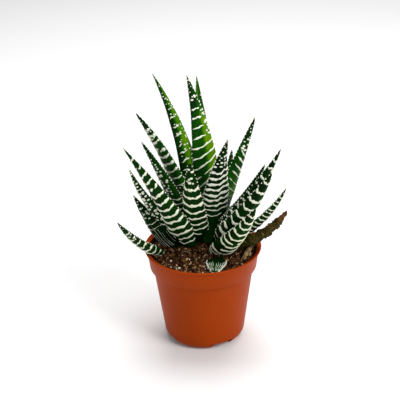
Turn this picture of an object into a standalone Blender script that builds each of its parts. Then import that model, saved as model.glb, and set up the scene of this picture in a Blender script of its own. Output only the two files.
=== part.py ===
"""Potted haworthia: a thin-walled grower pot, its soil, a short stem and a rosette of banded succulent leaves.

Metres, +Z up, the pot's underside on z = 0 about the origin, the front toward -Y. Lengths below are in
millimetres and angles in degrees; build() turns millimetres into metres.
"""

from math import cos, pi, radians, sin

import bpy
import numpy as np

MM = 0.001
CLEAR = 0.3  # left between nodes that touch

# Pot
POT_HEIGHT = 47.0
RIM_RADIUS = 27.5
RIM_LIP = 0.9  # height of the outward lip
COLLAR_TOP_RADIUS = 26.4
COLLAR_FOOT_RADIUS = 25.3
COLLAR_FOOT_Z = 37.2
WALL_TOP_RADIUS = 23.8
WALL_FOOT_RADIUS = 19.3
BASE_ROUNDING = 4.4
WALL = 0.9
FLOOR = 4.4  # top of the floor, which is solid between the foot's notches
CORNER_Z = 2.3  # a height in the rounding of the base
CORNER_INSET = 1.4  # from the outside there to the edge of the floor
POT_SIDES = 48
NOTCHES = 4
NOTCH_AZIMUTH = -63.0
NOTCH_WIDTH = 10.0
NOTCH_HEIGHT = 3.2
NOTCH_INNER = 9.0  # radii between which a notch is cut
NOTCH_OUTER = 25.0
DRAIN_RADIUS = 1.9
DRAIN_AT = 12.2

# Soil
SOIL_Z = 44.6  # at the wall
SOIL_MOUND = 2.4  # rise about the stem
SOIL_SPREAD = 13.0
SOIL_RELIEF = 0.55
SOIL_RINGS = 13
SOIL_SIDES = 44
SEED = 11

# Stem and leaves
CROWN = (-0.9, 6.0)
STEM_FOOT_Z = 36.0
STEM_TOP_Z = 55.5
STEM_RADIUS = 3.4
RIDGE = 0.38  # height of the raised bands

# Section of a leaf as shares of its half width and of its thickness, the stem side up; margins first and fourth
SECTION = [(1.0, 0.0), (0.5, 0.20), (-0.5, 0.20), (-1.0, 0.0), (-0.62, -0.55), (0.0, -0.80), (0.62, -0.55)]

# Outward from the heart: each leaf gives way to those above it in this list.
# name: root x, y, z, azimuth, turn, length, lean at root, lean at tip, width, thickness, taper start,
# taper power, roll, share of its full width and thickness that it has at its root, band spacing
LEAVES = {
    "leaf_heart_left": (-2.2, 5.0, 56.6, 214, 0, 22, 86, 84, 5.5, 2.6, 0.3, 0.8, 0, 0.6, 2.6),
    "leaf_heart_right": (0.6, 7.2, 56.4, 36, 0, 24, 84, 80, 6.0, 2.6, 0.3, 0.8, 0, 0.6, 2.6),
    "leaf_centre": (3.0, 6.5, 55.0, 106, 27, 71.5, 89.5, 65, 12.4, 3.6, 0.48, 0.78, 180, 0.6, 5.0),
    "leaf_centre_rear": (2.4, 9.3, 54.0, 93, 11, 69.5, 68, 71, 11.0, 3.4, 0.35, 0.85, 0, 0.6, 4.0),
    "leaf_tall_left": (-3.3, 7.8, 54.0, 153, 0, 76.4, 90.8, 58.3, 10.3, 5.0, 0.3, 0.9, 145, 0.6, 4.8),
    "leaf_tall_right": (4.2, 5.8, 52.8, 2, 0, 59.2, 71, 68.2, 13.0, 4.8, 0.35, 0.7, -38, 0.8, 3.6),
    "leaf_front": (-1.5, 4.2, 48.2, 257, -3, 48.3, 61, 83.5, 11.0, 4.2, 0.4, 0.62, 0, 0.78, 3.2),
    "leaf_right_centre": (5.6, 2.2, 48.4, 284, 24, 58.1, 91, 63, 11.8, 4.2, 0.5, 0.8, 0, 1.0, 2.8),
    "leaf_left_upper": (-4.1, 6.2, 52.0, 184, 0, 66, 82.3, 53.5, 15.9, 5.0, 0.35, 0.7, 28, 0.6, 4.0),
    "leaf_rear_right_inner": (3.3, 6.5, 51.5, 21, 0, 41, 64, 82, 11.5, 3.6, 0.25, 0.6, 0, 0.6, 3.2),
    "leaf_left_middle": (-4.5, 4.2, 49.8, 203, 0, 58, 72, 60, 13.2, 4.2, 0.3, 0.75, 18, 0.6, 3.6),
    "leaf_right_rear": (6.2, 3.9, 53.8, 332, 0, 45.5, 49.5, 63, 11.0, 4.4, 0.3, 0.75, -12, 0.4, 3.2),
    "leaf_right_long": (6.4, 2.0, 52.4, 323, 0, 62.3, 49, 62, 12.0, 4.4, 0.3, 0.8, -15, 0.4, 4.0),
    "leaf_back_upper": (-1.5, 9.3, 51.0, 100, 0, 42, 55, 38, 11.0, 4.0, 0.3, 0.75, 0, 0.6, 3.4),
    "leaf_back_left": (-3.3, 8.7, 49.2, 127, 0, 42, 45, 32, 11.0, 4.0, 0.3, 0.75, 0, 0.6, 3.4),
    "leaf_back_right": (0.7, 9.2, 48.6, 64, 0, 42, 38, 16, 11.0, 4.0, 0.3, 0.75, 0, 0.6, 3.4),
    "leaf_front_left": (-5.8, 1.4, 46.5, 216, 0, 68.7, 64.4, 55.6, 12.2, 4.6, 0.18, 1.0, 36, 0.6, 3.3),
    "leaf_right_front": (6.8, 1.0, 49.2, 314.5, 0, 56.3, 47, 59, 12.6, 4.6, 0.3, 0.72, -24, 0.45, 3.6),
    "leaf_left_lower": (-5.9, 4.3, 47.7, 194.6, 0, 49.7, 42, 70, 9.6, 4.0, 0.25, 0.8, 40, 0.6, 3.2),
    "leaf_back_right_lower": (2.4, 8.6, 46.4, 46, 0, 36, 24, 12, 10.5, 3.8, 0.3, 0.75, 0, 0.6, 3.4),
    "leaf_back_left_lower": (-4.5, 8.0, 46.6, 146, 0, 34, 30, 30, 10.5, 3.8, 0.3, 0.75, 0, 0.6, 3.4),
    "leaf_back_lower": (-1.4, 10.4, 46.0, 96, 0, 38, 24, 14, 10.5, 3.8, 0.3, 0.75, 0, 0.6, 3.4),
    "leaf_right_lower": (5.4, 3.3, 45.8, 334, 0, 51.5, 27.2, 62.6, 12.0, 4.0, 0.25, 0.8, -20, 0.6, 2.6),
    "leaf_front_right": (5.4, -1.8, 44.2, 305, 0, 47, 38.5, 58, 11.0, 4.2, 0.25, 0.7, -36, 0.6, 2.7),
    "leaf_left_lowest": (-13.1, 4.4, 45.4, 189.6, 0, 33.5, 50, 62, 10.9, 4.6, 0.3, 0.9, 58, 1.0, 3.3),
    "leaf_dead_right": (6.0, 2.2, 45.0, 332, 0, 46, 14, 58.5, 14.5, 3.6, 0.4, 0.65, -25, 0.6, 4.0),
    "leaf_over_rim": (-19.9, -5.4, 46.8, 213.8, 0, 31.3, 34, 57, 8.8, 3.1, 0.2, 0.75, 28, 0.8, 2.9),
    "dry_strip": (19.6, -10.6, 46.3, 69.5, 0, 15.0, 2, 4, 1.8, 1.0, 0.6, 0.4, 30, 0.7, 3.0),
    "leaf_stub": (6.4, -10.4, 45.0, 264, 0, 14.0, 9.0, -6.0, 8.8, 3.0, 0.42, 0.6, 0, 0.75, 2.2),
}

MATERIALS = {
    "pot_plastic": ((0.43, 0.075, 0.02, 1), 0.42),
    "potting_soil": ((0.05, 0.022, 0.012, 1), 0.95),
    "stem_tissue": ((0.10, 0.09, 0.03, 1), 0.7),
    "leaf_skin": ((0.035, 0.10, 0.02, 1), 0.42),
    "dead_leaf": ((0.06, 0.035, 0.012, 1), 0.85),
    "dry_leaf": ((0.42, 0.28, 0.13, 1), 0.85),
}


def make_material(name):
    colour, roughness = MATERIALS[name]
    material = bpy.data.materials.new(name)
    material.use_nodes = True
    shader = material.node_tree.nodes["Principled BSDF"]
    shader.inputs["Base Color"].default_value = colour
    shader.inputs["Roughness"].default_value = roughness
    material.diffuse_color = colour
    return material


def build(name, points, faces, slot=None):
    """A mesh object from points in millimetres and outward faces."""
    mesh = bpy.data.meshes.new(name)
    mesh.from_pydata([tuple(MM * c for c in p) for p in points], [], faces)
    mesh.update()
    obj = bpy.data.objects.new(name, mesh)
    if slot:
        material = bpy.data.materials.get(slot) or make_material(slot)
        mesh.materials.append(material)
    bpy.context.scene.collection.objects.link(obj)
    return obj


def as_cutter(obj):
    obj.hide_render = True
    obj.display_type = "WIRE"
    return obj


def cut(obj, cutters, label):
    """Takes the cutters away from obj, as one modifier over a collection of their own."""
    group = bpy.data.collections.new(label)
    for cutter in cutters:
        group.objects.link(cutter)
    modifier = obj.modifiers.new(label, "BOOLEAN")
    modifier.operation = "DIFFERENCE"
    modifier.operand_type = "COLLECTION"
    modifier.collection = group
    modifier.solver = "EXACT"


def keep_largest(obj):
    """Applies the modifiers and drops every island but the one with the most volume."""
    graph = bpy.context.evaluated_depsgraph_get()
    evaluated = obj.evaluated_get(graph)
    mesh = bpy.data.meshes.new_from_object(evaluated)
    obj.modifiers.clear()
    obj.data = mesh
    points = np.array([v.co[:] for v in mesh.vertices])
    owner = np.arange(len(points))

    def root(i):
        while owner[i] != i:
            owner[i] = owner[owner[i]]
            i = owner[i]
        return i

    for edge in mesh.edges:
        a, b = edge.vertices
        owner[root(a)] = root(b)
    islands = {}
    for polygon in mesh.polygons:
        islands.setdefault(root(polygon.vertices[0]), []).append(tuple(polygon.vertices))
    if len(islands) < 2:
        return

    def volume(faces):
        fans = [(f[0], f[k], f[k + 1]) for f in faces for k in range(1, len(f) - 1)]
        return sum(np.dot(points[a], np.cross(points[b], points[c])) for a, b, c in fans)

    best = max(islands.values(), key=volume)
    used = sorted({i for face in best for i in face})
    place = {old: new for new, old in enumerate(used)}
    kept = bpy.data.meshes.new(obj.name)
    kept.from_pydata([points[i] for i in used], [], [[place[i] for i in face] for face in best])
    kept.update()
    kept.materials.append(mesh.materials[0])
    obj.data = kept


def ring_faces(rings, sides):
    """Quads between successive rings of points that run anticlockwise seen from the far end."""
    faces = []
    for r in range(rings - 1):
        for k in range(sides):
            n = (k + 1) % sides
            faces.append((r * sides + k, r * sides + n, (r + 1) * sides + n, (r + 1) * sides + k))
    return faces


def lathe(name, profile, sides, slot=None):
    """Turns a profile of (radius, z) that starts and ends on the axis, anticlockwise in the r-z plane."""
    inner = profile[1:-1]
    points = [(0, 0, profile[0][1])]
    for radius, z in inner:
        for k in range(sides):
            a = 2 * pi * k / sides
            points.append((radius * cos(a), radius * sin(a), z))
    points.append((0, 0, profile[-1][1]))
    last = len(points) - 1
    faces = [(0, 1 + (k + 1) % sides, 1 + k) for k in range(sides)]
    for r in range(len(inner) - 1):
        low, high = 1 + r * sides, 1 + (r + 1) * sides
        for k in range(sides):
            n = (k + 1) % sides
            faces.append((low + k, low + n, high + n, high + k))
    high = 1 + (len(inner) - 1) * sides
    faces += [(high + k, high + (k + 1) % sides, last) for k in range(sides)]
    return build(name, points, faces, slot)


def box(name, size, centre, azimuth):
    """A box cutter with its long side along azimuth."""
    a = radians(azimuth)
    corners = []
    for x in (-0.5, 0.5):
        for y in (-0.5, 0.5):
            for z in (-0.5, 0.5):
                u, v, w = x * size[0], y * size[1], z * size[2]
                corners.append(
                    (centre[0] + u * cos(a) - v * sin(a), centre[1] + u * sin(a) + v * cos(a), centre[2] + w)
                )
    faces = [(0, 1, 3, 2), (4, 6, 7, 5), (0, 4, 5, 1), (2, 3, 7, 6), (0, 2, 6, 4), (1, 5, 7, 3)]
    return as_cutter(build(name, corners, faces))


def wall_at(z):
    """The pot's outer radius below the collar."""
    if z < BASE_ROUNDING:
        t = max(0.0, z) / BASE_ROUNDING
        return WALL_FOOT_RADIUS - BASE_ROUNDING * (1 - (1 - (1 - t) ** 2) ** 0.5)
    t = (z - BASE_ROUNDING) / (COLLAR_FOOT_Z - BASE_ROUNDING)
    return WALL_FOOT_RADIUS + (WALL_TOP_RADIUS - WALL_FOOT_RADIUS) * t


def make_pot():
    rounding = [(wall_at(z), z) for z in (0.0, 0.35, 1.1, CORNER_Z, BASE_ROUNDING)]
    outside = rounding + [
        (wall_at(COLLAR_FOOT_Z), COLLAR_FOOT_Z - 0.1),
        (COLLAR_FOOT_RADIUS - 0.3, COLLAR_FOOT_Z),
        (COLLAR_FOOT_RADIUS, COLLAR_FOOT_Z + 0.5),
        (COLLAR_TOP_RADIUS, POT_HEIGHT - RIM_LIP - 0.5),
        (RIM_RADIUS - 0.2, POT_HEIGHT - RIM_LIP),
        (RIM_RADIUS, POT_HEIGHT - RIM_LIP / 2),
        (RIM_RADIUS - 0.3, POT_HEIGHT),
    ]
    inside = [
        (RIM_RADIUS - WALL, POT_HEIGHT),
        (COLLAR_TOP_RADIUS - WALL, POT_HEIGHT - 0.9),
        (COLLAR_FOOT_RADIUS - WALL, COLLAR_FOOT_Z + 1.2),
        (WALL_TOP_RADIUS - WALL, COLLAR_FOOT_Z - 0.2),
        (wall_at(BASE_ROUNDING) - WALL, BASE_ROUNDING + 0.4),
        (wall_at(CORNER_Z) - CORNER_INSET, FLOOR),
    ]
    pot = lathe("pot", [(0, 0)] + outside + inside + [(0, FLOOR)], POT_SIDES, "pot_plastic")
    cutters = []
    for k in range(NOTCHES):
        azimuth = NOTCH_AZIMUTH + 360 * k / NOTCHES
        a = radians(azimuth)
        reach = (NOTCH_INNER + NOTCH_OUTER) / 2
        centre = (reach * cos(a), reach * sin(a), NOTCH_HEIGHT / 2 - 1)
        size = (NOTCH_OUTER - NOTCH_INNER, NOTCH_WIDTH, NOTCH_HEIGHT + 2)
        cutters.append(box(f"notch_{k}", size, centre, azimuth))
        hole = [(0, -2), (DRAIN_RADIUS, -2), (DRAIN_RADIUS, FLOOR + 2), (0, FLOOR + 2)]
        drain = as_cutter(lathe(f"drain_{k}", hole, 16))
        drain.location = (MM * DRAIN_AT * cos(a), MM * DRAIN_AT * sin(a), 0)
        cutters.append(drain)
    cut(pot, cutters, "foot_notches")
    return pot


def smooth(t):
    t = min(1.0, max(0.0, t))
    return t * t * (3 - 2 * t)


def spine(leaf, count):
    """Points along the middle of a leaf with the width and face directions at each, root first."""
    azimuth, turn, length, lean_root, lean_tip = leaf[3:8]
    roll = radians(leaf[12])
    at = np.array(leaf[:3])
    stations = [at]
    for k in range(count):
        t = (k + 0.5) / count
        lean, turned = radians(lean_root + (lean_tip - lean_root) * t), radians(azimuth + turn * t)
        along = np.array([cos(lean) * cos(turned), cos(lean) * sin(turned), sin(lean)])
        at = at + along * length / count
        stations.append(at)
    frames = []
    for k in range(count + 1):
        t = k / count
        lean, turned = radians(lean_root + (lean_tip - lean_root) * t), radians(azimuth + turn * t)
        along = np.array([cos(lean) * cos(turned), cos(lean) * sin(turned), sin(lean)])
        side = np.array([-sin(turned), cos(turned), 0.0])
        face = np.cross(along, side)
        frames.append((cos(roll) * side + sin(roll) * face, cos(roll) * face - sin(roll) * side))
    return stations, frames


def leaf_mesh(leaf, grow=0.0, banded=True):
    """Points and faces of a leaf. grow swells it for use as a cutter, which has no bands."""
    length, width, thickness, taper, power, base, spacing = leaf[5], *leaf[8:12], *leaf[13:]
    count = 120
    stations, frames = spine(leaf, count)
    places = [(0.0, 0.0), (0.07, 0.0)]
    if banded:
        bands = max(4, round(0.83 * length / spacing))
        for k in range(bands):
            places.append((0.10 + 0.83 * (k + 0.25) / bands, 0.0))
            places.append((0.10 + 0.83 * (k + 0.75) / bands, 1.0))
    else:
        places += [(t, 0.0) for t in (0.13, 0.2, 0.28, 0.36, 0.45, 0.55, 0.65, 0.75, 0.85, 0.93)]
    places.append((0.965, 0.0))
    points = []
    for t, crest in places:
        k = min(count, t * count)
        low = min(int(k), count - 1)
        share = k - low
        at = stations[low] * (1 - share) + stations[low + 1] * share
        side = frames[low][0] * (1 - share) + frames[low + 1][0] * share
        face = frames[low][1] * (1 - share) + frames[low + 1][1] * share
        rise = base + (1 - base) * smooth(t / 0.2)
        half = 0.5 * width * rise * min(1.0, (1 - t) / (1 - taper)) ** power
        deep = thickness * rise * min(1.0, (1 - t) / 0.85) ** 0.55
        ridge = RIDGE * crest * smooth((t - 0.05) / 0.1) * smooth((0.99 - t) / 0.15)
        for u, v in SECTION:
            under = ridge if v < 0 else 0.4 * ridge
            swell = grow + (RIDGE if v < 0 and not banded else 0.0)
            across = u * (half + (under + 1.2 * swell) * (0.6 if 0 < abs(u) < 1 else 1.0))
            above = v * deep + (0.0 if v == 0 else (1 if v > 0 else -1) * (swell if v > 0 else under + swell))
            points.append(at + side * across + face * above)
    sides = len(SECTION)
    faces = ring_faces(len(places), sides)
    faces.append(tuple(range(sides))[::-1])
    end = len(points)
    last_step = stations[-1] - stations[-2]
    points.append(stations[-1] + last_step / np.linalg.norm(last_step) * grow)
    first = (len(places) - 1) * sides
    faces += [(first + k, first + (k + 1) % sides, end) for k in range(sides)]
    return points, faces


def make_stem():
    profile = [(0, STEM_FOOT_Z), (2.0, STEM_FOOT_Z), (3.0, STEM_FOOT_Z + 2), (STEM_RADIUS, 44.0)]
    profile += [(STEM_RADIUS - 0.2, 50.0), (1.8, STEM_TOP_Z - 1.2), (0.9, STEM_TOP_Z), (0, STEM_TOP_Z)]
    stem = lathe("stem", profile, 16, "stem_tissue")
    grown = [(0, profile[0][1] - CLEAR)]
    grown += [(r + CLEAR, z - CLEAR if z < 37 else z) for r, z in profile[1:-1]]
    grown += [(0.6, STEM_TOP_Z + CLEAR), (0, STEM_TOP_Z + CLEAR)]
    cutter = as_cutter(lathe("stem_clearance", grown, 16))
    for obj in (stem, cutter):
        obj.location = (MM * CROWN[0], MM * CROWN[1], 0)
    return stem, cutter


def near(first, second):
    """Whether the boxes of two objects' points meet."""
    boxes = []
    for obj in (first, second):
        points = np.array([(obj.location + v.co)[:] for v in obj.data.vertices])
        boxes.append((points.min(axis=0), points.max(axis=0)))
    return bool((boxes[0][0] < boxes[1][1]).all() and (boxes[1][0] < boxes[0][1]).all())


def make_leaves(stem_cutter):
    made, cutters = {}, [stem_cutter]
    for name, leaf in LEAVES.items():
        slot = {"leaf_dead_right": "dead_leaf", "dry_strip": "dry_leaf"}.get(name, "leaf_skin")
        obj = build(name, *leaf_mesh(leaf), slot)
        touching = [other for other in cutters if near(obj, other)]
        if touching:
            cut(obj, touching, f"beside_{name}")
            keep_largest(obj)
        cutters.append(as_cutter(build(f"{name}_clearance", *leaf_mesh(leaf, CLEAR, False))))
        made[name] = obj
    return made, cutters


def soil_top(x, y):
    """Height of the soil, without its grain."""
    r = ((x - CROWN[0]) ** 2 + (y - CROWN[1]) ** 2) ** 0.5
    rise = SOIL_MOUND * (1 - smooth(r / SOIL_SPREAD))
    return SOIL_Z + rise + 0.35 * sin(0.35 * x + 1.1) * cos(0.31 * y - 0.4) - 0.012 * y - 0.02 * max(0.0, x)


def make_soil(cutters):
    random = np.random.default_rng(SEED)
    wall = [(wall_at(CORNER_Z) - CORNER_INSET - CLEAR - 0.4, FLOOR + CLEAR)]
    wall.append((wall_at(BASE_ROUNDING) - WALL - CLEAR, BASE_ROUNDING + 0.9))
    wall.append((WALL_TOP_RADIUS - WALL - CLEAR - 0.1, COLLAR_FOOT_Z - 0.2))
    wall.append((COLLAR_FOOT_RADIUS - WALL - CLEAR - 0.1, COLLAR_FOOT_Z + 1.6))
    rim = COLLAR_FOOT_RADIUS - WALL - CLEAR + 0.35
    points = [(0, 0, FLOOR + CLEAR)]
    for radius, z in wall:
        for k in range(SOIL_SIDES):
            a = 2 * pi * k / SOIL_SIDES
            points.append((radius * cos(a), radius * sin(a), z))
    for ring in range(SOIL_RINGS):
        radius = rim * (1 - ring / SOIL_RINGS)
        for k in range(SOIL_SIDES):
            a = 2 * pi * (k + 0.5 * (ring % 2)) / SOIL_SIDES
            shift = 0.0 if ring == 0 else random.uniform(-0.35, 0.35)
            x, y = (radius + shift) * cos(a), (radius + shift) * sin(a)
            drop = 0.5 if ring == 0 else 0.0
            grain = SOIL_RELIEF * random.uniform(-1, 1) * min(1.0, radius / 4)
            points.append((x, y, soil_top(x, y) - drop + grain))
    points.append((0, 0, soil_top(0, 0)))
    last = len(points) - 1
    sides, rows = SOIL_SIDES, len(wall) + SOIL_RINGS
    faces = [(0, 1 + (k + 1) % sides, 1 + k) for k in range(sides)]
    for r in range(rows - 1):
        low, high = 1 + r * sides, 1 + (r + 1) * sides
        for k in range(sides):
            n = (k + 1) % sides
            faces += [(low + k, low + n, high + n), (low + k, high + n, high + k)]
    high = 1 + (rows - 1) * sides
    faces += [(high + k, high + (k + 1) % sides, last) for k in range(sides)]
    soil = build("soil", points, faces, "potting_soil")
    cut(soil, [other for other in cutters if near(soil, other)], "planted")
    keep_largest(soil)
    return soil


for existing in list(bpy.data.objects):
    bpy.data.objects.remove(existing)

make_pot()
stem, stem_cutter = make_stem()
leaves, clearances = make_leaves(stem_cutter)
make_soil(clearances)
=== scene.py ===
"""The looks of the potted haworthia: leaves with raised pale bands and dots, grained soil and a satin pot.

Lengths are in millimetres and angles in degrees, as in the part's source; mesh_object() makes them metres.
"""

from math import cos, pi, radians, sin

import bpy
import numpy as np
from mathutils import Matrix, Vector
from mathutils.bvhtree import BVHTree


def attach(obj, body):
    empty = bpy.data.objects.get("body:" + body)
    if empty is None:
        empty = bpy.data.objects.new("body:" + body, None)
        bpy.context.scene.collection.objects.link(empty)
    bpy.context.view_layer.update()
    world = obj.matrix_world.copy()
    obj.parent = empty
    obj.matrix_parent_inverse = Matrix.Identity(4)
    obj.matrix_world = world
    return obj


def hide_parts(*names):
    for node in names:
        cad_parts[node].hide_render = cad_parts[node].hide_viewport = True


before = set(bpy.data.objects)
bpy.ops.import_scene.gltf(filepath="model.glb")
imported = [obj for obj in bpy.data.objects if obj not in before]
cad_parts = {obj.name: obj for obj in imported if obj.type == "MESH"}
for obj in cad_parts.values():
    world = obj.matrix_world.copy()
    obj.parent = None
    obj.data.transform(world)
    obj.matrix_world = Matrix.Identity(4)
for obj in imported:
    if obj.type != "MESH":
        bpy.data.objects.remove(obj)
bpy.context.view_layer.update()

MM = 0.001
SEED = 11

# Camera, fitted to the pot's rim, collar and base in the photograph's 400 x 400 frame
FRAME_PIXELS = 400
SENSOR = 36.0
CAMERA_DISTANCE = 500.0
CAMERA_ELEVATION = 26.45
CAMERA_ROLL = -1.39
CAMERA_LOOK_AT = (-0.85, 0.0, 70.4)
FOCAL_PIXELS = 1085.0

# Pot, as in the part's source
POT_HEIGHT = 47.0
RIM_RADIUS = 27.5
RIM_LIP = 0.9
COLLAR_TOP_RADIUS = 26.4
COLLAR_FOOT_RADIUS = 25.3
COLLAR_FOOT_Z = 37.2
WALL_TOP_RADIUS = 23.8
WALL_FOOT_RADIUS = 19.3
BASE_ROUNDING = 4.4
WALL = 0.9
FLOOR = 4.4
CORNER_Z = 2.3
CORNER_INSET = 1.4
POT_SIDES = 160
NOTCHES = 4
NOTCH_AZIMUTH = -63.0
NOTCH_WIDTH = 10.0
NOTCH_HEIGHT = 3.2
NOTCH_INNER = 9.0
NOTCH_OUTER = 25.0
DRAIN_RADIUS = 1.9
DRAIN_AT = 12.2
STAIN_TOP = POT_HEIGHT - 0.8

# Soil, as in the part's source
CLEAR = 0.3
SOIL_Z = 44.6
SOIL_MOUND = 2.4
SOIL_SPREAD = 13.0
CROWN = (-0.9, 6.0)

# Leaves, outward from the heart, as in the part's source
# name: root x, y, z, azimuth, turn, length, lean at root, lean at tip, width, thickness, taper start,
# taper power, roll, and the share of its full width and thickness that it has at its root
LEAVES = {
    "leaf_heart_left": (-2.2, 5.0, 56.6, 214, 0, 22, 86, 84, 5.5, 2.6, 0.3, 0.8, 0, 0.6),
    "leaf_heart_right": (0.6, 7.2, 56.4, 36, 0, 24, 84, 80, 6.0, 2.6, 0.3, 0.8, 0, 0.6),
    "leaf_centre": (3.0, 6.5, 55.0, 106, 27, 71.5, 89.5, 65, 12.4, 3.6, 0.48, 0.78, 180, 0.6),
    "leaf_centre_rear": (2.4, 9.3, 54.0, 93, 11, 69.5, 68, 71, 11.0, 3.4, 0.35, 0.85, 0, 0.6),
    "leaf_tall_left": (-3.3, 7.8, 54.0, 153, 0, 76.4, 90.8, 58.3, 10.3, 5.0, 0.3, 0.9, 145, 0.6),
    "leaf_tall_right": (4.2, 5.8, 52.8, 2, 0, 59.2, 71, 68.2, 13.0, 4.8, 0.35, 0.7, -38, 0.8),
    "leaf_front": (-1.5, 4.2, 48.2, 257, -3, 48.3, 61, 83.5, 11.0, 4.2, 0.4, 0.62, 0, 0.78),
    "leaf_right_centre": (5.6, 2.2, 48.4, 284, 24, 58.1, 91, 63, 11.8, 4.2, 0.5, 0.8, 0, 1.0),
    "leaf_left_upper": (-4.1, 6.2, 52.0, 184, 0, 66, 82.3, 53.5, 15.9, 5.0, 0.35, 0.7, 28, 0.6),
    "leaf_rear_right_inner": (3.3, 6.5, 51.5, 21, 0, 41, 64, 82, 11.5, 3.6, 0.25, 0.6, 0, 0.6),
    "leaf_left_middle": (-4.5, 4.2, 49.8, 203, 0, 58, 72, 60, 13.2, 4.2, 0.3, 0.75, 18, 0.6),
    "leaf_right_rear": (6.2, 3.9, 53.8, 332, 0, 45.5, 49.5, 63, 11.0, 4.4, 0.3, 0.75, -12, 0.4),
    "leaf_right_long": (6.4, 2.0, 52.4, 323, 0, 62.3, 49, 62, 12.0, 4.4, 0.3, 0.8, -15, 0.4),
    "leaf_back_upper": (-1.5, 9.3, 51.0, 100, 0, 42, 55, 38, 11.0, 4.0, 0.3, 0.75, 0, 0.6),
    "leaf_back_left": (-3.3, 8.7, 49.2, 127, 0, 42, 45, 32, 11.0, 4.0, 0.3, 0.75, 0, 0.6),
    "leaf_back_right": (0.7, 9.2, 48.6, 64, 0, 42, 38, 16, 11.0, 4.0, 0.3, 0.75, 0, 0.6),
    "leaf_front_left": (-5.8, 1.4, 46.5, 216, 0, 68.7, 64.4, 55.6, 12.2, 4.6, 0.18, 1.0, 36, 0.6),
    "leaf_right_front": (6.8, 1.0, 49.2, 314.5, 0, 56.3, 47, 59, 12.6, 4.6, 0.3, 0.72, -24, 0.45),
    "leaf_left_lower": (-5.9, 4.3, 47.7, 194.6, 0, 49.7, 42, 70, 9.6, 4.0, 0.25, 0.8, 40, 0.6),
    "leaf_back_right_lower": (2.4, 8.6, 46.4, 46, 0, 36, 24, 12, 10.5, 3.8, 0.3, 0.75, 0, 0.6),
    "leaf_back_left_lower": (-4.5, 8.0, 46.6, 146, 0, 34, 30, 30, 10.5, 3.8, 0.3, 0.75, 0, 0.6),
    "leaf_back_lower": (-1.4, 10.4, 46.0, 96, 0, 38, 24, 14, 10.5, 3.8, 0.3, 0.75, 0, 0.6),
    "leaf_right_lower": (5.4, 3.3, 45.8, 334, 0, 51.5, 27.2, 62.6, 12.0, 4.0, 0.25, 0.8, -20, 0.6),
    "leaf_front_right": (5.4, -1.8, 44.2, 305, 0, 47, 38.5, 58, 11.0, 4.2, 0.25, 0.7, -36, 0.6),
    "leaf_left_lowest": (-13.1, 4.4, 45.4, 189.6, 0, 33.5, 50, 62, 10.9, 4.6, 0.3, 0.9, 58, 1.0),
    "leaf_dead_right": (6.0, 2.2, 45.0, 332, 0, 46, 14, 58.5, 14.5, 3.6, 0.4, 0.65, -25, 0.6),
    "leaf_over_rim": (-19.9, -5.4, 46.8, 213.8, 0, 31.3, 34, 57, 8.8, 3.1, 0.2, 0.75, 28, 0.8),
    "dry_strip": (19.6, -10.6, 46.3, 69.5, 0, 15.0, 2, 4, 1.8, 1.0, 0.6, 0.4, 30, 0.7),
    "leaf_stub": (6.4, -10.4, 45.0, 264, 0, 14.0, 9.0, -6.0, 8.8, 3.0, 0.42, 0.6, 0, 0.75),
}

# How a leaf is marked. Places along it are shares of its length, from the root. From start to full its
# bands run from margin to margin. From there to dots, where that is more, they cover reach, which is -1 at
# the left margin and 1 at the right one, with dots beside them. Past both there are dots alone.
USUAL = dict(
    spacing=3.2,
    root_spacing=0.86,  # share of the spacing that is left at the root
    thick=0.9,
    bow=0.5,  # how far the middle of a band sags toward the root
    power=2.0,  # shape of the bow: 1 for a V, more for a U
    slant=(0.0, 0.0),  # how far a band's right end is raised, at the root and at the tip
    slant_power=1.0,  # how fast the first of these dies out
    jog=0.0,  # step in a band at the keel
    wavy=0.35,
    broken=0.2,  # share of the bands that are broken
    start=0.05,
    full=0.8,
    dots=0.0,
    reach=(-1.0, 1.0),
    fine=0.25,  # share of the length over which the bands thicken
    thin=0.45,  # share of their thickness that they start with
    dot=0.36,  # radius
    dense=1.0,  # how many dots a row has, against the usual number
    speckle=0.0,  # share of the bands that have loose dots beyond them
    streaks=0,  # thin lengthwise lines near the root
    upper="dots",  # what the upper face has: dots or lengthwise lines
    edge=0.0,  # thickness of a pale line along the right margin
    left=0.14,  # painted light and shade: brightness of the skin left and right of the keel, painted lighter on the side that light falls on, and near the root, painted darker where the foot lies in shade
    right=0.24,
    foot=0.14,
    split=0.0,  # where across it, from -1 to 1, the left brightness gives way to the right one
    foot_end=0.42,  # where the look of its foot ends
    top=0.6,  # brightness left at the tip
    tip=0.98,  # where its brown tip begins
    warm=0.15,  # yellowness of the bands
)
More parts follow.
